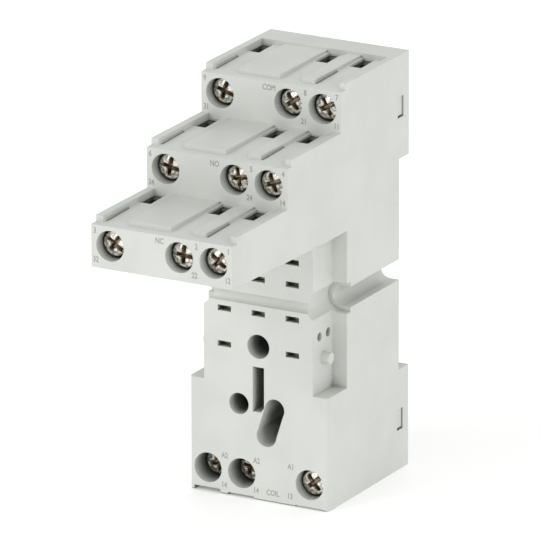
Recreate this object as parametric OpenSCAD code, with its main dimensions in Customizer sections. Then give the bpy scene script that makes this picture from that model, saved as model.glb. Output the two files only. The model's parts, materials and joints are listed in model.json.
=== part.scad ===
// Relay socket for a plug-in relay with three changeover poles.
// It clips on a 35 mm rail or is screwed to a panel.
//
// Every shape is drawn in bench axes: x across, y as depth from the rear lips
// towards the front, z as height from the foot.  placed() then moves it so that
// the origin is in the middle of the rail's seat and the front faces -Y.

/* [Body] */
// Width across the side panels
body_w = 27; // [27:0.5:31]
// Height from the foot to the top rails
body_h = 74.8; // [74.6:0.2:79]
// Depth from the rear lips to the relay seat
seat_d = 29.2; // [29:0.2:33]
// Width of the relay seat between the side recesses
seat_w = 21.2; // [20.8:0.2:22]
// Depth of the shoulders where the side recesses end
shoulder_d = 22.3; // [22:0.1:23.5]
// Height of the terminal block under the relay seat
foot_h = 20.4; // [20:0.1:21.4]
// Thickness of the side walls
wall = 1.2; // [1:0.1:1.25]
// Thickness of the relay seat's front wall
seat_wall = 1.7; // [1.2:0.1:2.2]
// Radius of the foot's upright front edges
edge_r = 0.9; // [0.4:0.1:1.2]

/* [Tiers] */
// Depth of the top tier, from the rear lips to its front face
top_tier_d = 24.5; // [24.5:0.5:28]
// How far each tier stands out beyond the one above
tier_step = 19; // [18:0.5:22]
// How far each tier's floor lies below the one above
tier_rise = 8.35; // [8.3:0.05:9.2]
// How much the tiers' floors rise towards the back
floor_ramp = 0.45; // [0:0.05:0.6]
// Thickness of the lowest tier at its front face
tier_t = 7.5; // [6.9:0.1:8]
// How much deeper the lowest tier gets towards the seat
under_slope = 0.85; // [0:0.05:1.2]
// Height of the edge rails above a tier's floor
rail_strip_h = 1.2; // [0.9:0.1:1.4]
// Width of the left edge rails
left_strip_w = 1.4; // [1:0.05:1.4]
// Width of the right edge rails
right_strip_w = 1.2; // [0.8:0.1:1.3]
// Height of the raised marker panels above a tier's floor
panel_h = 0.85; // [0.3:0.05:1.1]

/* [Terminals] */
// Distance between terminal columns
column_pitch = 6.6; // [6.5:0.05:6.7]
// Depth of a screw's axis below its tier's floor
axis_drop = 3.4; // [3.3:0.05:3.5]
// Height of the foot screws above the foot
foot_axis_h = 4.35; // [4.2:0.05:4.6]
// Bore of a screw well
well_dia = 5.35; // [5.2:0.05:5.8]
// Diameter of a screw head
head_dia = 4.7; // [4.2:0.1:4.9]
// Height of a screw head
head_h = 1.9; // [1.6:0.1:2.1]
// Thread diameter of the terminal screws
screw_dia = 3; // [2.5:0.1:3]
// Depth of an open screw's head below the tier's face
head_recess = 1.5; // [1:0.1:1.8]
// Travel of a screw between open and closed
screw_travel = 3.9375; // [3:0.0625:4]
// How far the foot's two left screws are turned in
turned_in = 1.75; // [0:0.0625:3]
// Width of a wire window
window_w = 2.35; // [2:0.05:2.35]
// Length of a wire window
window_l = 5.4; // [4.5:0.1:5.8]

/* [Clamps] */
// Depth of a clamp cage along its screw
cage_l = 8.6; // [8.4:0.1:9]
// Height of a clamp cage
cage_h = 4.6; // [4:0.1:4.7]
// Width of a clamp cage
cage_w = 4.9; // [4.7:0.05:4.95]
// Thickness of the cage's threaded front wall
cage_nut_t = 2; // [1.6:0.1:2.1]
// Thickness of the cage's other walls
cage_wall = 0.6; // [0.5:0.05:0.7]
// Thickness of the contact strip
strip_t = 0.6; // [0.5:0.05:0.65]
// Width of the contact strip
strip_w = 2.4; // [2:0.1:2.6]

/* [Relay] */
// Distance between the relay's blade columns
blade_pitch = 6.6; // [6.5:0.05:6.7]
// Width of a blade slot
slot_w = 2.6; // [2.4:0.1:2.8]
// Height of a blade slot
slot_h = 1; // [0.8:0.1:1.2]
// Depth of the pockets in the lower half of the seat
pocket_l = 9.2; // [8:0.1:9.6]
// Thickness of the pockets' walls
pocket_wall = 0.8; // [0.6:0.1:1]
// Gap between the two leaves of a contact
leaf_gap = 0.5; // [0.4:0.05:0.6]
// Height of the closed-contact blade row above the rail's middle
nc_row = 6.55; // [6.3:0.05:6.8]
// Height of the open-contact blade row above the rail's middle
no_row = 2.55; // [2.3:0.05:2.8]
// Depth of the common blade row below the rail's middle
com_row = 3.65; // [3.4:0.05:4]
// Depth of the coil blade row below the rail's middle
coil_row = 10.05; // [9.8:0.05:10.3]

/* [Panel slots] */
// Bore of the open slots for panel screws
panel_slot_dia = 3.7; // [3.4:0.1:3.9]
// Bore of the slots' counterbores
panel_head_dia = 5.4; // [5.2:0.1:5.6]
// Distance from each slot's centre to the side panel
panel_slot_in = 1.65; // [1.5:0.05:1.8]
// Depth of the slots below the rail's middle
panel_slot_drop = 0.85; // [0.6:0.05:1.2]
// Depth of the counterbores' floors
panel_floor_d = 21; // [20.6:0.1:21.6]

/* [Rail] */
// Height of the rail's middle above the foot
rail_mid_h = 37.25; // [37:0.05:37.5]
// Depth of the recess that takes the rail
rail_recess = 3.5; // [3.3:0.1:4]
// Height of the recess that takes the rail
recess_h = 38; // [37.6:0.1:38.4]
// Thickness of the rear cover
cover_t = 1.4; // [1.2:0.1:1.6]
// Gap around parts that fit in others
fit_gap = 0.1; // [0.05:0.01:0.12]
// How far the rail clip travels to let the rail go
clip_travel = 2.5; // [1.5:0.1:2.6]

/* [Hidden] */
$fn = 48;
EPS = 0.5;

POLES = ["left", "middle", "right"];
CIRCUITS = ["com", "no", "nc"];
TERMINALS = concat([for (c = CIRCUITS) for (p = POLES) str(c, "_", p)],
                   ["coil_a2_left", "coil_a2_middle", "coil_a1"]);
CONTACTS = concat([for (c = CIRCUITS) for (p = POLES) str(c, "_", p, "_contact")],
                  ["coil_a2_contact", "coil_a1_contact"]);
SCREWS = [for (t = TERMINALS) str(t, "_screw")];
PLATES = [for (t = TERMINALS) str(t, "_pressure_plate")];
CAGES = [for (t = TERMINALS) str(t, "_clamp_cage")];

axis_z = rail_mid_h;
recess_z = [axis_z - recess_h / 2, axis_z + recess_h / 2];
side_x = body_w / 2;
FOOT = 3;
TIER_COLUMNS = [0, 2, 3];
FOOT_COLUMNS = [0, 1, 3];

// Where each tier lies; index 3 is the foot
function tier_floor(g) = body_h - rail_strip_h - g * tier_rise;
function front_d(g) = g == FOOT ? seat_d : top_tier_d + g * tier_step;
function axis_of(g) = g == FOOT ? foot_axis_h : tier_floor(g) - axis_drop;
function column_x(c) = (c - 1.5) * column_pitch;
function group_of(t) = floor(t / 3);
function term_x(t) = column_x((group_of(t) == FOOT ? FOOT_COLUMNS : TIER_COLUMNS)[t % 3]);
function is_turned(t) = group_of(t) == FOOT && t % 3 < 2;

under_front = tier_floor(2) - tier_t;
under_back = under_front - under_slope;

// Clamp cages: how far behind the tier's face they begin and end
cage_back = tier_step + 0.2;
cage_front = cage_back - cage_l;
chamber_front = cage_front + cage_nut_t;
// A cage and its window sit left of the screw, where the wire passes
cage_shift = -0.3;
window_shift = -1;
window_back = tier_step - 0.05;
// The floor is thin around a window: its underside lies this far below the floor's front edge
lip_drop = 0.1;
channel_left = -2.7;
tab_front = cage_back - cage_wall - strip_t;

// Wells and screws
well_l = head_recess + head_h + 4.3;
plate_t = 0.7;
plate_w = cage_w - 2 * cage_wall - 0.4;
plate_h = cage_h - 0.8;
pin_dia = 1.9;
pin_gap = 0.05;
plate_open = chamber_front + fit_gap;

// Tunnels behind the terminals, which the cages are pushed in through
tunnel_w = cage_w + 2 * fit_gap;
tunnel_h = cage_h + 2 * fit_gap;
leg_drop = cage_h / 2 + 0.1;
tunnel_drop = leg_drop + strip_t + fit_gap;

// Contact strips
function row_z(c) = axis_z + [-com_row, no_row, nc_row, -coil_row][c];
function pole_x(p) = (p - 1) * blade_pitch;
function strip_x(p) = column_x(TIER_COLUMNS[p]) + cage_shift;
function tab_d(g) = front_d(g) - cage_back + cage_wall;
no_leg_d = 14.4;
nc_leg_d = shoulder_d - 1.8;
leaf_d = shoulder_d - 1.8;
leaf_t = 0.45;
seat_in = seat_d - seat_wall;
chan_w = 3.4;
row_gap = 2.15;
chan_z = row_z(3) - 2.6;
peg_r = 2.15;
peg_z = axis_z - 9.55;
pocket_d = seat_d - pocket_l;
jog_z = [row_z(2) + row_gap, axis_of(2) - 2.6];
shaft_d = shoulder_d - 0.9;

// Rear cover and rail clip
cover_in = rail_recess + cover_t;
cover_w = body_w - 2 * wall - 2 * fit_gap;
cover_edge = 1.3;
slot_z = axis_z - panel_slot_drop;
slot_x = side_x - panel_slot_in;
boss_r = panel_head_dia / 2 + 0.3;
clip_half = 5.4;
clip_wing = 6.6;
clip_bottom = 7.6;
clip_top = 20.6;
clip_body_d = [0.15, 4.2];
wing_d = [cover_t + fit_gap, cover_t + 1.2];
spring_r = 1.05;
spring_wire = 0.2;
spring_d = 2.8;
spring_z = [4.8, 13.8];
spring_coils = 6;

// Side latches that hold the rear cover
latch_d = [1.9, 4.05];
latch_rise = 28.2;
latch_h = 3.8;
function latch_z(s) = axis_z + s * latch_rise;

module placed() translate([0, rail_recess, -axis_z]) mirror([0, 1, 0]) children();

// A block from its ranges across, in depth and in height
module block(x, d, z)
    translate([x[0], d[0], z[0]]) cube([x[1] - x[0], d[1] - d[0], z[1] - z[0]]);

// A round bar that runs in depth
module bar(x, z, r, d) translate([x, d[0], z]) rotate([-90, 0, 0]) cylinder(r = r, h = d[1] - d[0]);

// A side view of points [depth, height], spread across the width
module across(x) translate([x[0], 0, 0]) rotate([90, 0, 90]) linear_extrude(x[1] - x[0]) children();

// A front view of points [across, height], spread in depth
module through(d) translate([0, d[1], 0]) rotate([90, 0, 0]) linear_extrude(d[1] - d[0]) children();

module both_sides() {
    children();
    mirror([1, 0, 0]) children();
}

// ---- housing -------------------------------------------------------------

// The stepped outline seen from the side
module housing_outline()
    across([-side_x, side_x]) polygon(concat(
        [[0, 0], [seat_d, 0], [seat_d, under_back], [front_d(2), under_front]],
        [for (g = [2:-1:0]) each [[front_d(g), tier_floor(g) + rail_strip_h],
            [g > 0 ? front_d(g - 1) : 0, tier_floor(g) + rail_strip_h]]],
        [[0, recess_z[1]], [rail_recess, recess_z[1]], [rail_recess, recess_z[0]], [0, recess_z[0]]]));

// What is cut from a tier's top, down to its floor, around the raised strips
module tier_relief(g) {
    front = front_d(g);
    back = front - tier_step;
    top = tier_floor(g);
    difference() {
        across([-side_x - EPS, side_x + EPS]) polygon([
            [back, top + floor_ramp], [front, top], [front + EPS, top],
            [front + EPS, top + rail_strip_h + EPS], [back, top + rail_strip_h + EPS]]);
        block([-side_x - 1, left_strip_w - side_x], [back - EPS, front - 1.6],
              [top - EPS, top + rail_strip_h + 1]);
        block([side_x - right_strip_w, side_x + 1], [back - EPS, front - 1.5],
              [top - EPS, top + rail_strip_h + 1]);
        block([column_x(0) + 2.3, column_x(2) + channel_left], [back - EPS, front - 2.2],
              [top - EPS, top + panel_h]);
        block([column_x(2) + 1.3, column_x(3) + channel_left], [back - EPS, front - 2.4],
              [top - EPS, top + panel_h]);
    }
    for (x = [left_strip_w - side_x, column_x(3) + channel_left])
        block([x - 0.05, x + 0.3], [front - 10.2, front - 2.5], [top - 1, top + EPS]);
}

// Wire channels in the underside of the foot
module foot_relief()
    for (c = [0, 1, 3])
        block([column_x(c) + channel_left, column_x(c) + 2.4], [seat_d - tier_step, seat_d + EPS],
              [-EPS, [0.8, 0.5, 0, 0.3][c]]);

// The way in for one terminal: screw well, shank bore, wire window and tunnel
module terminal_cut(t) {
    g = group_of(t);
    front = front_d(g);
    x = term_x(t);
    z = axis_of(g);
    mid = x + cage_shift;
    low = g == 1 || g == 2 ? tunnel_drop : tunnel_h / 2;
    bar(x, z, well_dia / 2, [front - well_l, front + EPS]);
    bar(x, z, screw_dia / 2 + 0.25, [front - cage_front, front - well_l + EPS]);
    block([x + window_shift - window_w / 2, x + window_shift + window_w / 2],
          [front - window_back, front - window_back + window_l],
          g == FOOT ? [-EPS, z] : [z, tier_floor(g) + floor_ramp + 0.2]);
    if (g != FOOT)
        block([mid - tunnel_w / 2, x + window_shift + window_w / 2 + 0.8],
              [front - cage_back, front - window_back + window_l + 0.8], [z, tier_floor(g) - lip_drop]);
    block([mid - tunnel_w / 2, mid + tunnel_w / 2],
          [g == 1 || g == 2 ? cover_in - EPS : cover_t - EPS, front - cage_front + fit_gap],
          [z - low, z + tunnel_h / 2]);
}

// The channel of one pole, from its blade slots up to its terminals
module pole_cut(p) {
    x = pole_x(p);
    s = strip_x(p);
    half = chan_w / 2;
    wide = tunnel_w / 2;
    block([x - half, x + half], [cover_in - EPS, seat_in],
          [p == 1 ? row_z(0) - 2.4 : chan_z, jog_z[0] + 0.2]);
    through([cover_in - EPS, shaft_d]) polygon([
        [x - half, jog_z[0]], [x + half, jog_z[0]], [s + wide, jog_z[1]],
        [s + wide, axis_of(1) + tunnel_h / 2], [s - wide, axis_of(1) + tunnel_h / 2],
        [s - wide, jog_z[1]]]);
    block([s - wide, s + wide], [cover_in - EPS, front_d(0) - cage_front + fit_gap],
          [axis_of(1), axis_of(0)]);
    for (c = [0, 1, 2]) blade_slot(x, row_z(c));
    if (p != 1) blade_slot(x, row_z(3));
}

module blade_slot(x, z)
    block([x - slot_w / 2, x + slot_w / 2], [seat_in - EPS, seat_d + EPS],
          [z - slot_h / 2, z + slot_h / 2]);

// The hollow that the blank column leaves in the tiers
module blank_cut() {
    x = column_x(1);
    low = axis_of(2) - 1.2;
    across([x - 3.2, x + 2.5]) polygon(concat(
        [[cover_in - EPS, low], [front_d(2) - seat_wall, low]],
        [for (g = [2:-1:0]) each [[front_d(g) - seat_wall, tier_floor(g) - 1.2],
            [g > 0 ? front_d(g - 1) - seat_wall : cover_in - EPS, tier_floor(g) - 1.2]]]));
}

// The room behind the lower half of the seat, with the ways down to the foot
module foot_room() {
    low = foot_axis_h + 4.25;
    block([-side_x + 1.9, side_x - 1.9], [cover_t - EPS, seat_in], [low, recess_z[0] - cover_t + EPS]);
    block([-side_x + 1.9, side_x - 1.9], [cover_in - EPS, seat_in], [low, foot_h - 1.1]);
    block([-seat_w / 2 + 1.4, seat_w / 2 - 1.4], [cover_in - EPS, seat_in], [low, chan_z + 0.2]);
    for (t = [9, 10, 11])
        block([term_x(t) + cage_shift - strip_w / 2 - 0.3, term_x(t) + cage_shift + strip_w / 2 + 0.3],
              [cover_t - EPS, tab_d(FOOT) + strip_t + 0.8], [foot_axis_h, low + EPS]);
}

// Recess beside the seat, open slot for a panel screw and its counterbore
module side_cut() {
    block([seat_w / 2, side_x + 1], [shoulder_d, seat_d + 1], [foot_h, under_back]);
    bar(slot_x, slot_z, panel_slot_dia / 2, [-EPS, seat_d]);
    block([slot_x, side_x + 1], [-EPS, seat_d],
          [slot_z - panel_slot_dia / 2, slot_z + panel_slot_dia / 2]);
    bar(slot_x, slot_z, panel_head_dia / 2, [panel_floor_d, seat_d + EPS]);
    block([slot_x, side_x + 1], [panel_floor_d, seat_d + EPS],
          [slot_z - panel_head_dia / 2, slot_z + panel_head_dia / 2]);
    // pin holes in the recess
    for (d = [seat_d - 2.45, seat_d - 5.5])
        translate([seat_w / 2 - 0.9, d, axis_z - 6.8]) rotate([0, 90, 0]) cylinder(d = 1.6, h = 2);
}

// Round and oblong pockets for a plug-in module and a relay's clip, grown all round by the amount given
module seat_pockets(d, grow) {
    slot = 1.1 + grow;
    bar(0, peg_z, peg_r + grow, d);
    bar(-3.8, foot_h - 3.5, 1.9 + grow, d);
    through(d) polygon([[-slot, foot_h - 4.5 - grow], [0.5 + grow, foot_h - 4.5 - grow],
                        [slot, foot_h - 3.6 - grow], [slot, foot_h + 3.6 + grow],
                        [-slot, foot_h + 3.6 + grow]]);
    top = [3.15, foot_h - 3.6];
    low = [1.55, foot_h - 8.6];
    run = norm(top - low);
    bar(top[0], top[1], 1.9 + grow, d);
    bar(low[0], low[1], 1.9 + grow, d);
    translate([low[0], 0, low[1]]) rotate([0, atan2(top[0] - low[0], top[1] - low[1]), 0])
        block([-1.86 - grow, 1.86 + grow], d, [0, run]);
}

// The stepped rebate that the rear cover closes, less the screw bosses
module cover_rebate() difference() {
    across([-side_x + wall, side_x - wall]) polygon([
        [-EPS, cover_edge], [cover_t, cover_edge], [cover_t, recess_z[0] - cover_t],
        [cover_in, recess_z[0] - cover_t], [cover_in, recess_z[1] + cover_t],
        [cover_t, recess_z[1] + cover_t], [cover_t, body_h - cover_edge], [-EPS, body_h - cover_edge]]);
    both_sides() block([slot_x - boss_r, side_x], [-1, cover_in + EPS],
                       [slot_z - boss_r, slot_z + boss_r]);
}

// Room and window for one of the cover's side latches
module latch_cut(z) {
    block([side_x - wall - 1.7, side_x - wall + fit_gap], [cover_t - EPS, latch_d[1] + 0.3],
          [z - latch_h / 2 - 0.2, z + latch_h / 2 + 0.2]);
    block([side_x - wall - EPS, side_x + 1], latch_d, [z - latch_h / 2, z + latch_h / 2]);
}

// Rounds an upright front edge of the foot
module edge_round()
    difference() {
        block([side_x - edge_r, side_x + 1], [seat_d - edge_r, seat_d + 1], [-1, foot_h + 1]);
        translate([side_x - edge_r, seat_d - edge_r, -2]) cylinder(r = edge_r, h = foot_h + 4);
    }

module housing() color([0.82, 0.84, 0.8]) placed() {
    difference() {
        housing_outline();
        for (g = [0:2]) tier_relief(g);
        foot_relief();
        both_sides() side_cut();
        both_sides() edge_round();
        // groove across the seat, between the counterbores
        translate([-slot_x, seat_d - 0.1, slot_z - 0.4]) rotate([0, 90, 0]) cylinder(r = 0.95, h = 2 * slot_x);
        for (t = [0:11]) terminal_cut(t);
        for (p = [0:2]) pole_cut(p);
        blank_cut();
        difference() {
            foot_room();
            seat_pockets([pocket_d - pocket_wall, seat_d], pocket_wall);
        }
        seat_pockets([pocket_d, seat_d + EPS], 0);
        cover_rebate();
        both_sides() for (s = [-1, 1]) latch_cut(latch_z(s));
        // bay for the rail clip and the cover's shelf
        block([-clip_wing - 1.6, clip_wing + 1.6], [-1, clip_body_d[1] + 1], [2.4, foot_axis_h + 4.5]);
        // slope at the front of each left rail and of the foot
        for (g = [0:2])
            across([-side_x - 1, left_strip_w - side_x]) polygon([
                [front_d(g) - 1.6, tier_floor(g) + rail_strip_h + 0.1],
                [front_d(g) + 0.1, tier_floor(g) - 0.05], [front_d(g) + 0.1, tier_floor(g) + 1.2]]);
        across([-side_x - 1, side_x + 1]) polygon([
            [seat_d - 0.35, -0.1], [seat_d + 0.1, 0.35], [seat_d + 0.1, -0.1]]);
    }
    // round studs in the side recesses
    both_sides()
        translate([seat_w / 2 - 0.5, seat_d - 3.65, axis_z - 10.75]) rotate([0, 90, 0])
            cylinder(d = 2, h = 2.1);
}

// ---- rear cover and rail clip --------------------------------------------

module rear_cover() color([0.78, 0.8, 0.76]) placed() {
    g = fit_gap;
    half = cover_w / 2;
    difference() {
        across([-half, half]) polygon([
            [0, cover_edge + g], [cover_t - g, cover_edge + g], [cover_t - g, recess_z[0] - cover_t + g],
            [cover_in - g, recess_z[0] - cover_t + g], [cover_in - g, recess_z[1] + cover_t - g],
            [cover_t - g, recess_z[1] + cover_t - g], [cover_t - g, body_h - cover_edge - g],
            [0, body_h - cover_edge - g], [0, recess_z[1]], [rail_recess, recess_z[1]],
            [rail_recess, recess_z[0]], [0, recess_z[0]]]);
        both_sides() block([slot_x - boss_r - g, side_x], [-1, cover_in + 1],
                           [slot_z - boss_r - g, slot_z + boss_r + g]);
        block([-clip_half - 0.2, clip_half + 0.2], [-1, wing_d[1] + 0.4], [clip_bottom - clip_travel - 0.4,
                                                                   recess_z[0] + 1]);
    }
    // fixed hook over the rail's upper edge
    across([-9, 9]) polygon([[0.9, recess_z[1] + 0.3], [0.9, recess_z[1] - 1.6], [1.3, recess_z[1] - 2.6],
                             [2.3, recess_z[1] - 2.6], [2.3, recess_z[1] + 0.3]]);
    // side latches
    both_sides() for (s = [-1, 1]) {
        z = latch_z(s);
        block([half - 1.2, half], [cover_t - g - 0.2, latch_d[1] - g], [z - latch_h / 2 + 0.2, z + latch_h / 2 - 0.1]);
        block([half - 0.2, side_x - 0.2], [latch_d[0] + 0.35, latch_d[1] - g],
              [z - latch_h / 2 + 0.35, z + latch_h / 2 - g]);
    }
    // guides that hold the clip's wings
    both_sides() {
        block([clip_wing + 0.15, clip_wing + 1.1], [cover_t - g - 0.2, wing_d[1] + 1], [clip_bottom, 15.8]);
        block([clip_half + 0.3, clip_wing + 1.1], [wing_d[1] + g, wing_d[1] + 1], [clip_bottom, 15.8]);
    }
    // shelf under the clip's spring
    block([-clip_half, clip_half], [0, clip_body_d[1] + 0.3], [3.4, spring_z[0]]);
}

module rail_clip() color([0.45, 0.47, 0.47]) placed() difference() {
    union() {
        block([-clip_half, clip_half], [clip_body_d[0], wing_d[1]], [clip_bottom, recess_z[0] - 0.4]);
        block([-clip_wing, clip_wing], wing_d, [clip_bottom + 0.4, recess_z[0] - cover_t - 0.05]);
        block([-2.4, 2.4], [clip_body_d[0], clip_body_d[1]], [clip_bottom, 15.6]);
        across([-clip_half, clip_half]) polygon([
            [0.9, recess_z[0] - 1], [2.4, recess_z[0] - 1], [2.4, clip_top - 1],
            [2.1, clip_top], [1.5, clip_top], [0.9, clip_top - 1.4]]);
    }
    block([-1.5, 1.5], [1.3, clip_body_d[1] + 1], [clip_bottom - 1, spring_z[1]]);
    block([-2.6, 2.6], [-1, 0.9], [clip_bottom + 1.4, clip_bottom + 3]);
}

// Compression spring: a wire swept along a helix with closed ends
function helix_h(u) = spring_wire + (spring_z[1] - spring_z[0] - 2 * spring_wire) *
    (u < 0.12 ? 0.4 * u * u / 0.12 : u > 0.88 ? 1 - 0.4 * (1 - u) * (1 - u) / 0.12 :
     0.048 + (u - 0.12) * (1 - 0.096) / 0.76);
SPRING_SIDES = 8;
SPRING_STEPS = 14 * spring_coils;
module clip_spring() color([0.6, 0.6, 0.62]) placed()
    translate([0, spring_d, spring_z[0]]) polyhedron(
        points = [for (i = [0:SPRING_STEPS], j = [0:SPRING_SIDES - 1])
            let (u = i / SPRING_STEPS, a = 360 * spring_coils * u, b = 360 * j / SPRING_SIDES,
                 r = spring_r + spring_wire * cos(b))
            [r * cos(a), r * sin(a), helix_h(u) + spring_wire * sin(b)]],
        faces = concat(
            [[for (j = [0:SPRING_SIDES - 1]) j]],
            [for (i = [0:SPRING_STEPS - 1], j = [0:SPRING_SIDES - 1])
                let (k = (j + 1) % SPRING_SIDES, a = i * SPRING_SIDES)
                [a + j, a + SPRING_SIDES + j, a + SPRING_SIDES + k, a + k]],
            [[for (j = [SPRING_SIDES - 1:-1:0]) SPRING_STEPS * SPRING_SIDES + j]]));

// ---- terminals -----------------------------------------------------------

// Moves a shape drawn with its tier's face at depth 0 to terminal t
module at_terminal(t, moves) placed()
    translate([term_x(t), front_d(group_of(t)) - (moves && is_turned(t) ? turned_in : 0),
               axis_of(group_of(t))]) children();

module terminal_screw(t) color([0.78, 0.78, 0.76]) at_terminal(t, true) difference() {
    r = head_dia / 2;
    back = -head_recess - head_h;
    union() {
        translate([0, -head_recess, 0]) rotate([90, 0, 0]) rotate_extrude()
            polygon([[0, 0], [0.62 * r, 0], [0.9 * r, 0.25], [r, 0.7], [r, head_h], [0, head_h]]);
        bar(0, 0, screw_dia / 2, [-plate_open + fit_gap, back + 0.2]);
        bar(0, 0, pin_dia / 2, [-plate_open - plate_t + 0.05, -plate_open + 0.2]);
    }
    rotate([0, 37 * t + 20, 0]) {
        block([-r - 1, r + 1], [-head_recess - 0.65, 0], [-0.35, 0.35]);
        for (a = [0, 90]) rotate([0, a, 0])
            block([-1.35, 1.35], [-head_recess - 1.25, 0], [-0.42, 0.42]);
    }
}

module pressure_plate(t) color([0.7, 0.7, 0.68]) at_terminal(t, true) difference() {
    block([cage_shift - plate_w / 2, cage_shift + plate_w / 2], [-plate_open - plate_t, -plate_open],
          [-plate_h / 2, plate_h / 2]);
    bar(0, 0, pin_dia / 2 + pin_gap, [-plate_open - plate_t - 1, -plate_open + 1]);
}

module clamp_cage(t) color([0.72, 0.7, 0.62]) at_terminal(t, false) difference() {
    inner = cage_w / 2 - cage_wall;
    block([cage_shift - cage_w / 2, cage_shift + cage_w / 2], [-cage_back, -cage_front],
          [-cage_h / 2, cage_h / 2]);
    block([cage_shift - inner, cage_shift + inner], [-cage_back + cage_wall, -chamber_front],
          [-cage_h, cage_h]);
    bar(0, 0, screw_dia / 2 + pin_gap, [-chamber_front - 1, 0]);
}

// ---- contacts ------------------------------------------------------------

// Two leaves behind a blade slot, fed by a tongue from the depth given
module receptacle(x, z, from) {
    w = strip_w / 2 + 0.1;
    open = leaf_gap / 2;
    if (from < leaf_d) block([x - strip_w / 2, x + strip_w / 2], [from, leaf_d + 0.3],
                             [z - strip_t / 2, z + strip_t / 2]);
    block([x - w, x + w], [leaf_d, leaf_d + strip_t], [z - open - leaf_t, z + open + leaf_t]);
    for (s = [-1, 1])
        block([x - w, x + w], [leaf_d, seat_in - fit_gap],
              s < 0 ? [z - open - leaf_t, z - open] : [z + open, z + open + leaf_t]);
}

// The upright leg of pole p, which steps sideways between blade and terminal
module jogged_leg(p, d, low, high) {
    h = strip_w / 2;
    x = pole_x(p);
    s = strip_x(p);
    through([d, d + strip_t]) polygon(concat(
        [[x - h, low], [x + h, low], [x + h, jog_z[0] + 0.4], [s + h, jog_z[1] - 0.4]],
        [[s + h, high], [s - h, high], [s - h, jog_z[1] - 0.4], [x - h, jog_z[0] + 0.4]]));
}

module pole_contact(c, p) color([0.78, 0.62, 0.3]) placed() {
    s = strip_x(p);
    h = strip_w / 2;
    z = row_z(c);
    leg = [tab_d(0), no_leg_d, nc_leg_d][c];
    tab = tab_d(c);
    axis = axis_of(c);
    receptacle(pole_x(p), z, leg);
    jogged_leg(p, leg, z - strip_t / 2, c == 0 ? axis + cage_h / 2 : axis - leg_drop);
    if (c > 0) {
        block([s - h, s + h], [leg, tab + strip_t], [axis - leg_drop - strip_t, axis - leg_drop]);
        block([s - h, s + h], [tab, tab + strip_t], [axis - leg_drop - strip_t, axis + cage_h / 2]);
    }
}

// One strip serves both of the coil's left terminals
module coil_a2_contact() color([0.78, 0.62, 0.3]) placed() {
    h = strip_w / 2;
    d = [tab_d(FOOT), tab_d(FOOT) + strip_t];
    x = pole_x(0);
    bar_z = [foot_axis_h + 4.9, foot_axis_h + 6.9];
    receptacle(x, row_z(3), d[0]);
    block([x - h, x + h], d, [bar_z[0], row_z(3) + strip_t / 2]);
    block([column_x(0) + cage_shift - h, column_x(1) + cage_shift + h], d, bar_z);
    for (c = [0, 1]) block([column_x(c) + cage_shift - h, column_x(c) + cage_shift + h], d,
                           [foot_axis_h - cage_h / 2, bar_z[0] + EPS]);
}

module coil_a1_contact() color([0.78, 0.62, 0.3]) placed() {
    h = strip_w / 2;
    x = pole_x(2);
    s = column_x(3) + cage_shift;
    turn = foot_axis_h + 5.5;
    receptacle(x, row_z(3), tab_d(FOOT));
    through([tab_d(FOOT), tab_d(FOOT) + strip_t]) polygon([
        [s - h, foot_axis_h - cage_h / 2], [s + h, foot_axis_h - cage_h / 2], [s + h, turn],
        [x + h, turn + 4], [x + h, row_z(3) + strip_t / 2], [x - h, row_z(3) + strip_t / 2],
        [x - h, turn + 4], [s - h, turn]]);
}

// ---- the part ------------------------------------------------------------

housing();
rear_cover();
rail_clip();
clip_spring();
for (t = [0:11]) terminal_screw(t);
for (t = [0:11]) pressure_plate(t);
for (t = [0:11]) clamp_cage(t);
for (i = [0:8]) pole_contact(floor(i / 3), i % 3);
coil_a2_contact();
coil_a1_contact();
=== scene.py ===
"""Relay socket: finishes, screws, spring, printed marks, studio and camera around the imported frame."""

import json
import math

import bmesh
import bpy
from mathutils import Matrix, Vector


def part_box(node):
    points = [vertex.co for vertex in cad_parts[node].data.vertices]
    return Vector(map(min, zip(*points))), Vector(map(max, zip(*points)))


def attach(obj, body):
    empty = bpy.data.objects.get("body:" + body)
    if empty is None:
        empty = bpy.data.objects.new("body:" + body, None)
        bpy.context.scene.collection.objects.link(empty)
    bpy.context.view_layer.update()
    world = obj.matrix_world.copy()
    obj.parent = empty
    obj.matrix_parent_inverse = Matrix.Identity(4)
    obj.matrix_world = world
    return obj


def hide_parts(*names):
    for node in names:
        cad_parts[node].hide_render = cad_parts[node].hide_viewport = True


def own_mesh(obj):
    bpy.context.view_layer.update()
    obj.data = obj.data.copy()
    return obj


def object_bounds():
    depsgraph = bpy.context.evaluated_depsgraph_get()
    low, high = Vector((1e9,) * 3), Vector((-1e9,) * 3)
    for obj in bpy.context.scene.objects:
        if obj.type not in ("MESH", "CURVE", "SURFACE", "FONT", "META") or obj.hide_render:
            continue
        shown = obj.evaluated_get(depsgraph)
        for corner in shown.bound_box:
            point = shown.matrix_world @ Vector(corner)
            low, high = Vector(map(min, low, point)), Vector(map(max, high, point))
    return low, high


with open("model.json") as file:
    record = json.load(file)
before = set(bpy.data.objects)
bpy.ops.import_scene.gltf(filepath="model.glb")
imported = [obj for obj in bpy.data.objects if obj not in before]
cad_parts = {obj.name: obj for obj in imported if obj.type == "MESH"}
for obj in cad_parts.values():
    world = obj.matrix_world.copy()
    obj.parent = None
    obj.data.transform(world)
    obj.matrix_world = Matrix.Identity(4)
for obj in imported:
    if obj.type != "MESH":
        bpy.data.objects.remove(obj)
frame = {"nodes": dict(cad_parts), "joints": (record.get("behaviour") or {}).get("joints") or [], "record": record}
cad_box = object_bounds()
scene = bpy.context.scene
MM = 0.001


# ---- shader writing ---------------------------------------------------------


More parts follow.
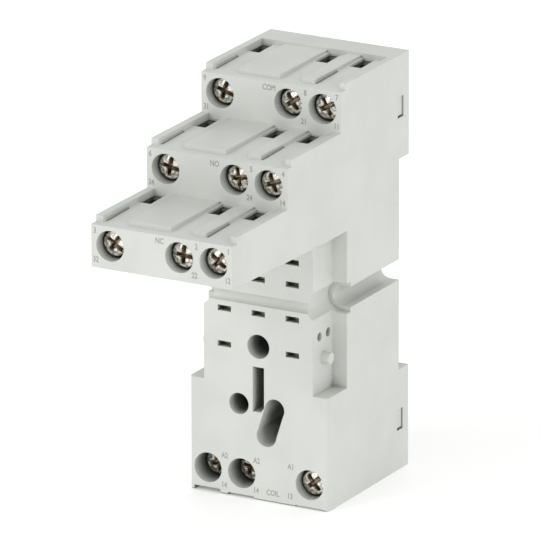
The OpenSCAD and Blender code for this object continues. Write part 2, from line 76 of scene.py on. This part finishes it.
class Wire:
    """A socket of one material, on which Python arithmetic adds Math nodes."""

    def __init__(self, finish, socket):
        self.finish = finish
        self.socket = socket

    def math(self, operation, *terms):
        return self.finish.node("ShaderNodeMath", {"operation": operation}, dict(enumerate(terms)))

    def __add__(self, other):
        return self.math("ADD", self, other)

    def __rsub__(self, other):
        return self.math("SUBTRACT", other, self)

    def __mul__(self, other):
        return self.math("MULTIPLY", self, other)

    def __pow__(self, other):
        return self.math("POWER", self, other)

    __radd__ = __add__
    __rmul__ = __mul__

    def sine(self):
        return self.math("SINE", self)

    def step_between(self, low, high):
        """0 below low, 1 above high and smooth between them."""
        return self.finish.node(
            "ShaderNodeMapRange",
            {"interpolation_type": "SMOOTHSTEP"},
            {"Value": self, "From Min": low, "From Max": high},
        )


# Sockets of a Mix node in its colour form, which shares their names with its other forms
MIX_FACTOR, MIX_LOW, MIX_HIGH, MIXED = 0, 6, 7, 2
BEVEL_SAMPLES = 6
OPENNESS_SAMPLES = 8


class Finish:
    """One procedural material, built from wires."""

    def __init__(self, name):
        self.material = bpy.data.materials.new(name)
        self.material.use_nodes = True
        self.tree = self.material.node_tree
        self.tree.nodes.clear()

    def node(self, kind, settings=None, inputs=None, output=0):
        """The named or numbered output of a new node, which has these settings and inputs."""
        made = self.tree.nodes.new(kind)
        for key, value in (settings or {}).items():
            setattr(made, key, value)
        for key, value in (inputs or {}).items():
            if isinstance(value, Wire):
                self.tree.links.new(value.socket, made.inputs[key])
            else:
                made.inputs[key].default_value = value
        return Wire(self, made.outputs[output]) if made.outputs else None

    def place(self):
        """Position in the piece's own axes, in metres."""
        return self.node("ShaderNodeTexCoord", output="Object")

    def parts_of(self, vector):
        """The X, Y and Z of a vector."""
        split = self.node("ShaderNodeSeparateXYZ", inputs={"Vector": vector})
        return [Wire(self, socket) for socket in split.socket.node.outputs]

    def noise(self, place, size, detail=2.0, rough=0.5):
        """Noise from 0 to 1 whose grains are about size metres across."""
        return self.node(
            "ShaderNodeTexNoise",
            inputs={"Vector": place, "Scale": 1 / size, "Detail": detail, "Roughness": rough},
        )

    def blend(self, factor, low, high):
        """Colour that goes from low to high as factor goes from 0 to 1."""
        low, high = (colour if isinstance(colour, Wire) else (*colour, 1) for colour in (low, high))
        colours = {MIX_FACTOR: factor, MIX_LOW: low, MIX_HIGH: high}
        return self.node("ShaderNodeMix", {"data_type": "RGBA"}, colours, output=MIXED)

    def soft_edges(self, radius):
        """A normal that rounds the edges off at this radius."""
        return self.node("ShaderNodeBevel", {"samples": BEVEL_SAMPLES}, {"Radius": radius})

    def edges(self, rounded):
        """0 on flat faces, up to 1 where the rounded normal leaves the face's own."""
        face = self.node("ShaderNodeNewGeometry", output="True Normal")
        along = self.node(
            "ShaderNodeVectorMath", {"operation": "DOT_PRODUCT"}, {0: face, 1: rounded}, output="Value"
        )
        return (1 - along).step_between(0.0, 0.25)

    def openness(self, reach):
        """1 on open faces, falling to 0 deep in wells, slots and windows. The finishes use it to paint shade into
        their colour.
        """
        return self.node(
            "ShaderNodeAmbientOcclusion", {"samples": OPENNESS_SAMPLES}, {"Distance": reach}, output="AO"
        )

    def bump(self, height, depth, normal):
        """The normal, tilted by a height from 0 to 1 that stands for this depth."""
        relief = {"Height": height, "Distance": depth, "Strength": 1.0, "Normal": normal}
        return self.node("ShaderNodeBump", inputs=relief)

    def surface(self, looks):
        """The material, as one Principled shader with these inputs."""
        shader = self.node("ShaderNodeBsdfPrincipled", inputs=looks)
        self.node("ShaderNodeOutputMaterial", inputs={"Surface": shader})
        return self.material


# ---- finishes ---------------------------------------------------------------

# How far the finishes look for walls that keep the light out of a hole
WELL_REACH = 6 * MM


def toned(colour, factor):
    """The colour made paler or darker."""
    return tuple(min(1, part * factor) for part in colour)


def moulded_plastic(name, colour, edge=0.16 * MM, rough=0.42):
    """Satin moulded plastic: spark-eroded grain, faint flow clouds, painted highlights on the edges and painted
    shade deep in holes.
    """
    finish = Finish(name)
    place = finish.place()
    clouds = finish.noise(place, 9 * MM, detail=3)
    grain = finish.noise(place, 0.09 * MM, detail=2)
    rounded = finish.soft_edges(edge)
    light_openness = finish.openness(WELL_REACH)
    face = finish.blend(clouds.step_between(0.3, 0.7), toned(colour, 0.97), toned(colour, 1.03))
    # Painted highlight: edges on open faces are made paler than the face.
    edge_highlighted = finish.blend(finish.edges(rounded) * light_openness.step_between(0.55, 0.85), face, toned(colour, 1.16))
    # Painted shade: the colour falls to a dark tone deep in wells, slots and windows.
    return finish.surface({
        "Base Color": finish.blend(light_openness.step_between(0.04, 0.44), toned(colour, 0.12), edge_highlighted),
        "Roughness": rough - 0.05 + 0.1 * grain,
        "IOR": 1.5,
        "Normal": finish.bump(grain, 0.0035 * MM, rounded),
    })


# Spacing of the rings that turning leaves on a screw's head
RING_SPACING = 0.11 * MM


def plated_screw():
    """Bright nickel, a little uneven: turned rings, driver scuffs, a browner, darker recess that is partly dirt
    and partly painted shade, and painted black shade where the recess lies deepest.
    """
    finish = Finish("screw_nickel")
    place = finish.place()
    x, depth, z = finish.parts_of(place)
    radius = (x * x + z * z) ** 0.5
    sunk = depth.step_between(0.20 * MM, 0.60 * MM) * (1 - radius.step_between(1.75 * MM, 2.05 * MM))
    light_openness = finish.openness(1.2 * MM)
    smear = finish.noise(place, 0.6 * MM, detail=3)
    dents = finish.noise(place, 0.95 * MM, detail=1)
    rings = (radius * (2 * math.pi / RING_SPACING)).sine()
    bright, dull = (0.92, 0.90, 0.86), (0.42, 0.385, 0.32)
    dirt_and_shade_brown, shade_black = (0.34, 0.26, 0.18), (0.05, 0.045, 0.04)
    plate = finish.blend(smear.step_between(0.42, 0.60), bright, dull)
    # The recess turns browner and darker: partly dirt, partly painted shade.
    recess_dirt_and_shade = finish.blend(sunk * 0.85, plate, dirt_and_shade_brown)
    # Painted shade: black deep in the recess, where little light reaches.
    return finish.surface({
        "Base Color": finish.blend(light_openness.step_between(0.0, 0.55), shade_black, recess_dirt_and_shade),
        "Metallic": 1.0,
        "Roughness": 0.14 + 0.16 * smear + 0.12 * sunk,
        "Normal": finish.bump(rings * 0.02 + smear * 0.35 + dents, 0.22 * MM, finish.soft_edges(0.07 * MM)),
    })


def drawn_metal(name, colour, grain_size, rough, edge=0.05 * MM, along=(1, 1, 1), unlit=0.10):
    """Plated or drawn metal with fine streaks, and painted shade deep in holes. along stretches the streaks, and
    unlit is the share of the colour that is left as painted shade where the metal lies deep."""
    finish = Finish(name)
    place = finish.place()
    streaks = finish.node("ShaderNodeVectorMath", {"operation": "MULTIPLY"}, {0: place, 1: along})
    lines = finish.noise(streaks, grain_size, detail=3, rough=0.6)
    spots = finish.noise(place, 1.4 * MM, detail=2)
    metal = finish.blend(spots.step_between(0.35, 0.7), colour, toned(colour, 0.86))
    light_openness = finish.openness(WELL_REACH)
    # Painted shade: the colour falls to its unlit share deep in holes and slots.
    return finish.surface({
        "Base Color": finish.blend(light_openness.step_between(0.0, 0.30), toned(colour, unlit), metal),
        "Metallic": 1.0,
        "Roughness": rough - 0.06 + 0.12 * lines,
        "Normal": finish.bump(lines, 0.0015 * MM, finish.soft_edges(edge)),
    })


def print_ink():
    """Pad-printed grey, a little uneven."""
    finish = Finish("print_ink")
    speckle = finish.noise(finish.place(), 0.12 * MM, detail=3)
    dark, pale = (0.27, 0.285, 0.275), (0.36, 0.375, 0.36)
    return finish.surface({
        "Base Color": finish.blend(speckle.step_between(0.35, 0.75), dark, pale),
        "Roughness": 0.55 + 0.1 * speckle,
    })


def studio_floor():
    """White paper that glows a little, so that it stays white under soft light."""
    finish = Finish("studio_floor")
    paper = finish.noise(finish.place(), 40 * MM, detail=2)
    return finish.surface({
        "Base Color": finish.blend(paper, (0.94, 0.94, 0.935), (0.96, 0.96, 0.955)),
        "Roughness": 0.9,
        "Emission Color": (1, 1, 1, 1),
        "Emission Strength": 0.20,
    })


FINISHES = {
    "housing_plastic": moulded_plastic("housing_plastic", (0.603, 0.622, 0.586)),
    "cover_plastic": moulded_plastic("cover_plastic", (0.588, 0.604, 0.571), rough=0.46),
    "clip_plastic": moulded_plastic("clip_plastic", (0.16, 0.165, 0.165), rough=0.38),
    "spring_steel": drawn_metal("spring_steel", (0.56, 0.56, 0.57), 0.05 * MM, 0.30, edge=0.02 * MM),
    "screw_nickel": plated_screw(),
    "plate_steel": drawn_metal("plate_steel", (0.62, 0.62, 0.60), 0.08 * MM, 0.34, along=(1, 1, 0.2)),
    "cage_nickel": drawn_metal("cage_nickel", (0.66, 0.63, 0.55), 0.10 * MM, 0.30, along=(1, 0.2, 1)),
    "contact_brass": drawn_metal(
        "contact_brass", (0.78, 0.68, 0.50), 0.09 * MM, 0.28, along=(1, 1, 0.15), unlit=0.60
    ),
}
for part in frame["record"]["subparts"]:
    node = frame["nodes"][part["node"]]
    node.data.materials.clear()
    node.data.materials.append(FINISHES[part["material_slot"]])


# ---- mesh helpers -----------------------------------------------------------


def added(name, data):
    """A new object in the scene that holds this mesh, text, light or camera."""
    made = bpy.data.objects.new(name, data)
    scene.collection.objects.link(made)
    return made


def new_mesh(name, verts, faces, material):
    mesh = bpy.data.meshes.new(name)
    mesh.from_pydata(verts, [], faces)
    mesh.materials.append(material)
    return mesh


def new_object(name, verts, faces, material):
    return added(name, new_mesh(name, verts, faces, material))


def finished_mesh(made):
    """The object's mesh with its modifiers applied. The object itself goes."""
    bpy.context.view_layer.update()
    mesh = bpy.data.meshes.new_from_object(made.evaluated_get(bpy.context.evaluated_depsgraph_get()))
    bpy.data.objects.remove(made)
    return mesh


def one_mesh(name, meshes, material):
    """These meshes as one, all of one material."""
    whole = bmesh.new()
    for mesh in meshes:
        whole.from_mesh(mesh)
    made = bpy.data.meshes.new(name)
    whole.to_mesh(made)
    whole.free()
    made.materials.append(material)
    return made


def smooth(mesh, angle):
    """Smooth shading that stays sharp at edges of more than angle degrees."""
    mesh.shade_smooth()
    mesh.set_sharp_from_angle(angle=math.radians(angle))


def turned(profile, sides):
    """Verts and faces of a closed profile of (radius, depth) points, turned about the Y axis.
    The profile starts and ends on the axis."""
    verts, faces, rings = [], [], []
    for radius, depth in profile:
        if radius == 0:
            rings.append([len(verts)])
            verts.append((0, depth, 0))
        else:
            rings.append(list(range(len(verts), len(verts) + sides)))
            for i in range(sides):
                angle = 2 * math.pi * i / sides
                verts.append((radius * math.cos(angle), depth, radius * math.sin(angle)))
    for one, two in zip(rings, rings[1:]):
        for i in range(sides):
            j = (i + 1) % sides
            if len(one) == 1:
                faces.append((one[0], two[i], two[j]))
            elif len(two) == 1:
                faces.append((one[i], two[0], one[j]))
            else:
                faces.append((one[i], two[i], two[j], one[j]))
    return verts, faces


# ---- terminal screws --------------------------------------------------------

screw_joints = [joint for joint in frame["joints"] if joint["name"].endswith("_screw_turn")]
screw_low, screw_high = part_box(screw_joints[0]["child"])
SCREW_L = screw_high.y - screw_low.y
HEAD_R = 2.35 * MM
HEAD_H = 1.9 * MM
HEAD_SIDES = 56
SHANK_R = 1.5 * MM
SHANK_SIDES = 28
THREAD_DEPTH = 0.32 * MM
PITCH = 0.5 * MM
ROWS_PER_TURN = 8
# Slope of the thread's flanks, and where they meet its root, in turns from the middle of the crest
FLANK_SLOPE = 4.4
FLANK_FOOT = 1.9 / FLANK_SLOPE
PIN_R = 0.95 * MM
PIN_L = 0.7 * MM
# Length, width, depth and draft of each arm of the recess, and its turn about the screw's axis
RECESS_ARMS = {
    "slot": (5.4 * MM, 0.62 * MM, 0.60 * MM, 0.02 * MM, 0),
    "cross_a": (3.9 * MM, 0.98 * MM, 1.30 * MM, 0.62 * MM, 0),
    "cross_b": (3.9 * MM, 0.98 * MM, 1.30 * MM, 0.62 * MM, math.pi / 2),
}
# How far each screw stands turned, in degrees
SLOT_TURNS = [18, -35, 62, 12, 80, -20, 35, 5, -52, 70, 20, -40]


def share(value):
    """The value, kept between 0 and 1."""
    return min(1, max(0, value))


def threaded_shank(start, end):
    """A thread along Y whose crest follows the pitch, closed at both ends."""
    rows = round((end - start) / PITCH * ROWS_PER_TURN)
    run_out = 0.6 * PITCH
    verts, faces = [(0, start, 0)], []
    for row in range(rows + 1):
        y = start + (end - start) * row / rows
        fade = share(min(end - y, y - start) / run_out)
        for i in range(SHANK_SIDES):
            turn = i / SHANK_SIDES
            phase = (y / PITCH - turn) % 1
            crest = share((FLANK_FOOT - abs(phase - 0.5)) * FLANK_SLOPE)
            radius = SHANK_R - THREAD_DEPTH * (1 - crest * fade)
            angle = 2 * math.pi * turn
            verts.append((radius * math.cos(angle), y, radius * math.sin(angle)))
    last_ring = len(verts) - SHANK_SIDES
    tip = len(verts)
    verts.append((0, end, 0))
    for i in range(SHANK_SIDES):
        j = (i + 1) % SHANK_SIDES
        faces.append((0, 1 + i, 1 + j))
        for ring in range(1, last_ring, SHANK_SIDES):
            after = ring + SHANK_SIDES
            faces.append((ring + i, after + i, after + j, ring + j))
        faces.append((last_ring + i, tip, last_ring + j))
    return verts, faces


def tapered_bar(length, width, depth, draft, turn):
    """A cutter for one arm of the recess: narrower at its floor, and a little proud of the head."""
    proud = 0.3 * MM
    side_draft = 0.45 * draft
    cosine, sine = math.cos(turn), math.sin(turn)
    verts = []
    for y, end_in, side_in in ((-proud, 0, 0), (depth, draft, side_draft)):
        for end, side in ((-1, -1), (1, -1), (1, 1), (-1, 1)):
            along, across = end * (length / 2 - end_in), side * (width / 2 - side_in)
            verts.append((along * cosine - across * sine, y, along * sine + across * cosine))
    faces = [(0, 1, 2, 3), (7, 6, 5, 4), (0, 4, 5, 1), (1, 5, 6, 2), (2, 6, 7, 3), (3, 7, 4, 0)]
    return verts, faces


def screw_head(material):
    """A pan head with a full slot across a deeper cross, its face at Y = 0."""
    r, h = HEAD_R, HEAD_H
    dome = [(0, 0), (0.35 * r, 0.01 * h), (0.58 * r, 0.035 * h), (0.74 * r, 0.09 * h)]
    rim = [
        (r * (0.80 + 0.20 * math.sin(angle)), h * (0.36 - 0.24 * math.cos(angle)))
        for angle in map(math.radians, range(10, 91, 16))
    ]
    skirt = [(r, 0.86 * h), (0.975 * r, 0.95 * h), (0.93 * r, h), (0, h)]
    head = new_object("screw_head", *turned(dome + rim + skirt, HEAD_SIDES), material)
    for name, arm in RECESS_ARMS.items():
        cutter = new_object(name, *tapered_bar(*arm), material)
        cut = head.modifiers.new(name, "BOOLEAN")
        cut.object = cutter
        cut.solver = "EXACT"
        head = added("screw_head", finished_mesh(head))
        bpy.data.objects.remove(cutter)
    soften = head.modifiers.new("edges", "BEVEL")
    soften.width = 0.06 * MM
    soften.segments = 2
    soften.angle_limit = math.radians(38)
    soften.use_clamp_overlap = True
    return finished_mesh(head)


def screw_mesh(material):
    """A whole screw: head, thread, and the pin on its tip that carries the pressure plate."""
    shank_end = SCREW_L - PIN_L
    shank = threaded_shank(HEAD_H - 0.1 * MM, shank_end)
    pin_root = shank_end - 0.2 * MM
    chamfer = [(PIN_R, SCREW_L - 0.12 * MM), (PIN_R - 0.1 * MM, SCREW_L)]
    pin = turned([(0, pin_root), (PIN_R, pin_root), *chamfer, (0, SCREW_L)], SHANK_SIDES)
    pieces = [
        screw_head(material),
        new_mesh("screw_shank", *shank, material),
        new_mesh("screw_pin", *pin, material),
    ]
    mesh = one_mesh("terminal_screw", pieces, material)
    smooth(mesh, 32)
    return mesh


SCREW = screw_mesh(FINISHES["screw_nickel"])
for joint, turn in zip(screw_joints, SLOT_TURNS):
    node = joint["child"]
    x, _, z = joint["pos_m"]
    screw = added(node + "_detail", SCREW)
    face = Matrix.Translation((x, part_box(node)[0].y, z))
    screw.matrix_world = face @ Matrix.Rotation(math.radians(turn), 4, "Y")
    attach(screw, node)
    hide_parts(node)


# ---- rail clip spring -------------------------------------------------------

SPRING_COILS = 6
SPRING_WIRE_R = 0.2 * MM
STEPS_PER_COIL = 44
WIRE_SIDES = 12


def coil_spring(low, high, material):
    """A compression spring with closed ends, upright between two corners."""
    middle = (low + high) / 2
    radius = (high.x - low.x) / 2 - SPRING_WIRE_R
    height = high.z - low.z - 2 * SPRING_WIRE_R
    # Each closed end's share of the coils and of the height
    closed = 0.7 / SPRING_COILS
    rise = 2 * SPRING_WIRE_R / height
    steps = STEPS_PER_COIL * SPRING_COILS
    verts = []
    for step in range(steps + 1):
        run = step / steps
        if run < closed:
            climb = rise * run / closed
        elif run > 1 - closed:
            climb = 1 - rise * (1 - run) / closed
        else:
            climb = rise + (run - closed) * (1 - 2 * rise) / (1 - 2 * closed)
        turn = 2 * math.pi * SPRING_COILS * run
        for i in range(WIRE_SIDES):
            angle = 2 * math.pi * i / WIRE_SIDES
            out = radius + SPRING_WIRE_R * math.cos(angle)
            z = low.z + SPRING_WIRE_R + height * climb + SPRING_WIRE_R * math.sin(angle)
            verts.append((middle.x + out * math.cos(turn), middle.y + out * math.sin(turn), z))
    faces = [tuple(range(WIRE_SIDES - 1, -1, -1))]
    for ring in range(0, steps * WIRE_SIDES, WIRE_SIDES):
        after = ring + WIRE_SIDES
        for i in range(WIRE_SIDES):
            j = (i + 1) % WIRE_SIDES
            faces.append((ring + i, ring + j, after + j, after + i))
    faces.append(tuple(steps * WIRE_SIDES + i for i in range(WIRE_SIDES)))
    return new_object("clip_spring_wire", verts, faces, material)


spring_low, spring_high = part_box("clip_spring")
clip_joint = next(joint for joint in frame["joints"] if joint["name"] == "rail_clip_slide")
spring_length = spring_high.z - spring_low.z
spring = coil_spring(spring_low, spring_high, FINISHES["spring_steel"])
smooth(spring.data, 50)
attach(spring, "socket")
1 - clip_joint["range_m"][1] / spring_length
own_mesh(spring)
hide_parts("clip_spring")


# ---- printed marks ----------------------------------------------------------

INK = print_ink()
INK_T = 0.02 * MM
# How far the middle of the print lies below the face
INK_SUNK = 0.2 * INK_T
TEXT_SIZE = 1.42 * MM
# The letters' width as a share of the plain type's, and how much their strokes grow on each side
NARROW = 0.78
BOLDER = 0.034 * MM


def letters(text):
    """A word in plain type, lying flat and facing up."""
    curve = bpy.data.curves.new(text, "FONT")
    curve.body = text
    curve.size = TEXT_SIZE
    curve.extrude = INK_T / 2
    curve.resolution_u = 3
    curve.offset = BOLDER
    return finished_mesh(added(text, curve))


def printed(name, face_y, words):
    """Words of (text, x, z) on a face that looks along -Y, each centred on its place, as one piece."""
    meshes = []
    for text, x, z in words:
        mesh = letters(text)
        corners = [(min(c), max(c)) for c in zip(*(v.co for v in mesh.vertices))]
        middle = Vector(sum(ends) / 2 for ends in corners)
        mesh.transform(
            Matrix.Translation((x, face_y + INK_SUNK, z))
            @ Matrix.Rotation(math.pi / 2, 4, "X")
            @ Matrix.Diagonal((NARROW, 1, 1, 1))
            @ Matrix.Translation(-middle)
        )
        meshes.append(mesh)
    marks = added(name, one_mesh(name, meshes, INK))
    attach(marks, "socket")


def face_of(screw):
    """Y of the face that this screw is sunk in."""
    head_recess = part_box("nc_left_screw")[0].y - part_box("housing")[0].y
    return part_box(screw)[0].y - head_recess


spot = {joint["name"].removesuffix("_screw_turn"): Vector(joint["pos_m"]) for joint in screw_joints}
UPPER, LOWER = 2.4 * MM, -2.65 * MM
# How far beside the left, the middle and the right screw its upper and its lower number stand
BESIDE = ((-2.95 * MM, -2.75 * MM), (3.3 * MM, 2.95 * MM), (2.8 * MM, 2.75 * MM))
WORD_ASIDE = -3.7 * MM
TIER_WORDS = {
    "com": ("COM", ("9", "31"), ("8", "21"), ("7", "11")),
    "no": ("NO", ("6", "34"), ("5", "24"), ("4", "14")),
    "nc": ("NC", ("3", "32"), ("2", "22"), ("1", "12")),
}
for circuit, (word, *pairs) in TIER_WORDS.items():
    terminals = [spot[f"{circuit}_{side}"] for side in ("left", "middle", "right")]
    middle = terminals[1]
    words = [(word, middle.x + WORD_ASIDE, middle.z + UPPER)]
    for at, (over, under), (top, bottom) in zip(terminals, BESIDE, pairs):
        words += [(top, at.x + over, at.z + UPPER), (bottom, at.x + under, at.z + LOWER)]
    printed(f"marks_{circuit}", face_of(f"{circuit}_left_screw"), words)

FOOT_UPPER, FOOT_LOWER = 2.75 * MM, -2.6 * MM
COIL_ASIDE = -7.1 * MM
# How far beside each of the foot's screws its upper and its lower mark stand, and the marks
FOOT_WORDS = {
    "coil_a2_left": (3.25 * MM, "A2", "14"),
    "coil_a2_middle": (2.9 * MM, "A2", "14"),
    "coil_a1": (-3.7 * MM, "A1", "13"),
}
words = []
for terminal, (beside, top, bottom) in FOOT_WORDS.items():
    at = spot[terminal]
    words += [(top, at.x + beside, at.z + FOOT_UPPER), (bottom, at.x + beside, at.z + FOOT_LOWER)]
words.append(("COIL", spot["coil_a1"].x + COIL_ASIDE, spot["coil_a1"].z + FOOT_LOWER))
printed("marks_coil", face_of("coil_a1_screw"), words)


# ---- studio and camera ------------------------------------------------------

FLOOR_REACH = 8.0
floor_z = cad_box[0][2]
floor = new_object(
    "floor",
    [(x * FLOOR_REACH, y * FLOOR_REACH, floor_z) for x, y in ((-1, -1), (1, -1), (1, 1), (-1, 1))],
    [(0, 1, 2, 3)],
    studio_floor(),
)

world = bpy.data.worlds.new("studio")
scene.world = world
world.use_nodes = True
backdrop = world.node_tree.nodes["Background"]
backdrop.inputs["Color"].default_value = (1.0, 1.0, 1.0, 1)
backdrop.inputs["Strength"].default_value = 0.69

BODY_MIDDLE = (0, -0.025, 0)
FLOOR_BEHIND = (0, 0.3, -0.04)


def soft_box(name, place, size, watts, target):
    """A wide lamp at this place that faces the target."""
    light = bpy.data.lights.new(name, "AREA")
    light.shape = "RECTANGLE"
    light.size, light.size_y = size
    light.energy = watts
    lamp = added(name, light)
    aim = Vector(target) - Vector(place)
    lamp.matrix_world = Matrix.Translation(place) @ aim.to_track_quat("-Z", "Y").to_matrix().to_4x4()


soft_box("key", (-0.75, -1.10, 0.66), (0.7, 0.9), 6.2, BODY_MIDDLE)
soft_box("fill", (1.25, -0.65, 0.45), (0.6, 0.9), 4.8, BODY_MIDDLE)
soft_box("floor_wash", (0.0, 1.3, 1.6), (2.0, 1.0), 6.0, FLOOR_BEHIND)

VIEW_AZIMUTH = math.radians(28.749)
VIEW_ELEVATION = math.radians(17.762)
VIEW_ROLL = math.radians(-0.117)
VIEW_DISTANCE = 1594.094 * MM
VIEW_ASIDE = 0.094 * MM
VIEW_RAISE = 3.120 * MM
FOCUS = Vector((0, -21.5 * MM, -0.25 * MM))
# Blender takes both in millimetres
SENSOR_W = 36.0
FOCAL_L = 621.54

back = Vector((
    math.sin(VIEW_AZIMUTH) * math.cos(VIEW_ELEVATION),
    -math.cos(VIEW_AZIMUTH) * math.cos(VIEW_ELEVATION),
    math.sin(VIEW_ELEVATION),
))
level = Vector((math.cos(VIEW_AZIMUTH), math.sin(VIEW_AZIMUTH), 0))
plumb = back.cross(level)
right = level * math.cos(VIEW_ROLL) + plumb * math.sin(VIEW_ROLL)
up = plumb * math.cos(VIEW_ROLL) - level * math.sin(VIEW_ROLL)
eye = FOCUS + right * VIEW_ASIDE + up * VIEW_RAISE + back * VIEW_DISTANCE

lens = bpy.data.cameras.new("camera")
lens.sensor_width = SENSOR_W
lens.lens = FOCAL_L
lens.clip_start = 0.05
lens.clip_end = 50
camera = added("camera", lens)
camera.matrix_world = Matrix.Translation(eye) @ Matrix((right, up, back)).transposed().to_4x4()
scene.camera = camera
scene.view_settings.view_transform = "Standard"
